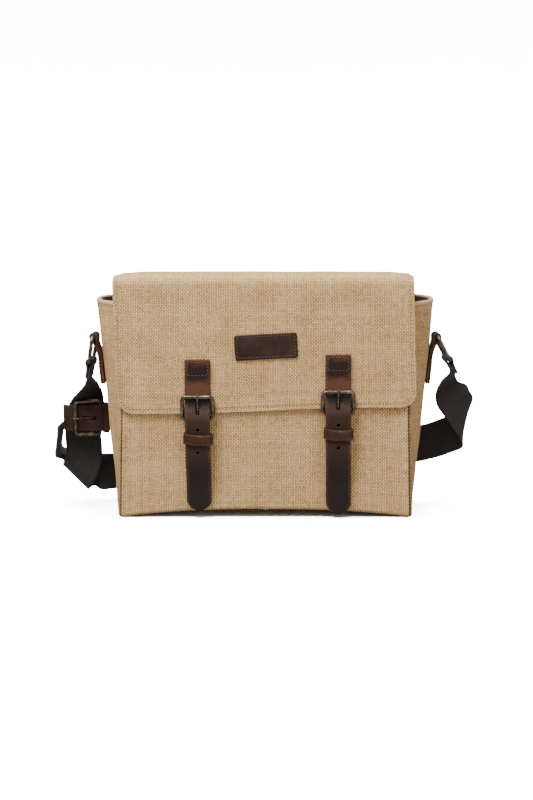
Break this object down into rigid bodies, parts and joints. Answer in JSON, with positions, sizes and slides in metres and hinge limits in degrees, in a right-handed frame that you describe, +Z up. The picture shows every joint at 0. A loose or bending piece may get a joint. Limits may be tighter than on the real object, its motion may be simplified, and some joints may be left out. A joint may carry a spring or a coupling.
{
  "type": "messenger bag",
  "caption": "Canvas messenger bag with a fold-over flap, leather closure straps with buckles, side rings and a webbing shoulder strap.",
  "frame": {"origin": "centre of the underside of the bottom panel, on the surface that the bag stands on", "axes": "+X to the bag's right as seen from the front, -Y out of the front panel, +Z up"},
  "size_m": [0.4356, 0.1301, 0.244],
  "materials": {
    "canvas": "coarse woven cotton canvas, matte",
    "lining": "plain woven lining, matte",
    "binding": "bound canvas edge",
    "leather": "oiled pull-up leather, satin",
    "tan_leather": "worn pull-up leather, satin",
    "webbing": "ribbed cotton webbing, matte",
    "bronze": "antique bronze plating, worn bright on edges",
    "board": "plain stiffener board",
    "thread": "waxed sewing thread"
  },
  "bodies": {
    "root": {"front_panel": "canvas", "back_panel": "canvas", "left_gusset": "canvas", "right_gusset": "canvas", "bottom_panel": "canvas", "base_board": "board", "lining": "lining", "mouth_binding": "binding", "flap_anchor": "canvas", "left_snap_socket": "bronze", "right_snap_socket": "bronze", "left_snap_washer": "bronze", "right_snap_washer": "bronze", "left_side_tab": "tan_leather", "right_side_tab": "tan_leather", "short_webbing": "webbing", "long_webbing": "webbing", "shoulder_chape": "leather", "shoulder_billet": "leather", "shoulder_buckle_frame": "bronze", "shoulder_keeper": "leather"},
    "flap": {"flap_top": "canvas", "flap_top_lining": "lining"},
    "flap_drop": {"flap_front": "canvas", "flap_front_lining": "lining", "label_patch": "leather", "left_strap_head": "leather", "right_strap_head": "leather"},
    "left_closure": {"left_strap_tail": "leather", "left_buckle_frame": "bronze", "left_chape": "leather", "left_keeper": "tan_leather", "left_snap_stud": "bronze"},
    "right_closure": {"right_strap_tail": "leather", "right_buckle_frame": "bronze", "right_chape": "leather", "right_keeper": "tan_leather", "right_snap_stud": "bronze"},
    "left_prong": {"left_buckle_prong": "bronze"},
    "right_prong": {"right_buckle_prong": "bronze"},
    "left_side_ring": {"left_ring": "bronze", "left_webbing_end": "webbing"},
    "right_side_ring": {"right_ring": "bronze", "right_webbing_end": "webbing"},
    "shoulder_prong": {"shoulder_buckle_prong": "bronze"}
  },
  "joints": [
    {"name": "flap_lift", "type": "hinge", "parent": "root", "child": "flap", "pos_m": [0, 0.0492, 0.2253], "axis": [-1, 0, 0], "range_deg": [0, 180]},
    {"name": "flap_fold", "type": "hinge", "parent": "flap", "child": "flap_drop", "pos_m": [0, -0.0486, 0.2406], "axis": [-1, 0, 0], "range_deg": [0, 85]},
    {"name": "left_closure_lift", "type": "hinge", "parent": "flap_drop", "child": "left_closure", "pos_m": [-0.067, -0.05535, 0.14135], "axis": [-1, 0, 0], "range_deg": [0, 90]},
    {"name": "right_closure_lift", "type": "hinge", "parent": "flap_drop", "child": "right_closure", "pos_m": [0.072, -0.05535, 0.14635], "axis": [-1, 0, 0], "range_deg": [0, 90]},
    {"name": "left_prong_lift", "type": "hinge", "parent": "left_closure", "child": "left_prong", "pos_m": [-0.067, -0.055, 0.10119], "axis": [1, 0, 0], "range_deg": [0, 12]},
    {"name": "right_prong_lift", "type": "hinge", "parent": "right_closure", "child": "right_prong", "pos_m": [0.072, -0.055, 0.10619], "axis": [1, 0, 0], "range_deg": [0, 12]},
    {"name": "left_ring_swing", "type": "hinge", "parent": "root", "child": "left_side_ring", "pos_m": [-0.17429, 0, 0.179], "axis": [0, 1, 0], "range_deg": [0, 60]},
    {"name": "right_ring_swing", "type": "hinge", "parent": "root", "child": "right_side_ring", "pos_m": [0.17429, 0, 0.179], "axis": [0, -1, 0], "range_deg": [0, 45]},
    {"name": "shoulder_prong_lift", "type": "hinge", "parent": "root", "child": "shoulder_prong", "pos_m": [-0.17127, 0.01603, 0.093], "axis": [0, 0, 1], "range_deg": [0, 12]}
  ]
}
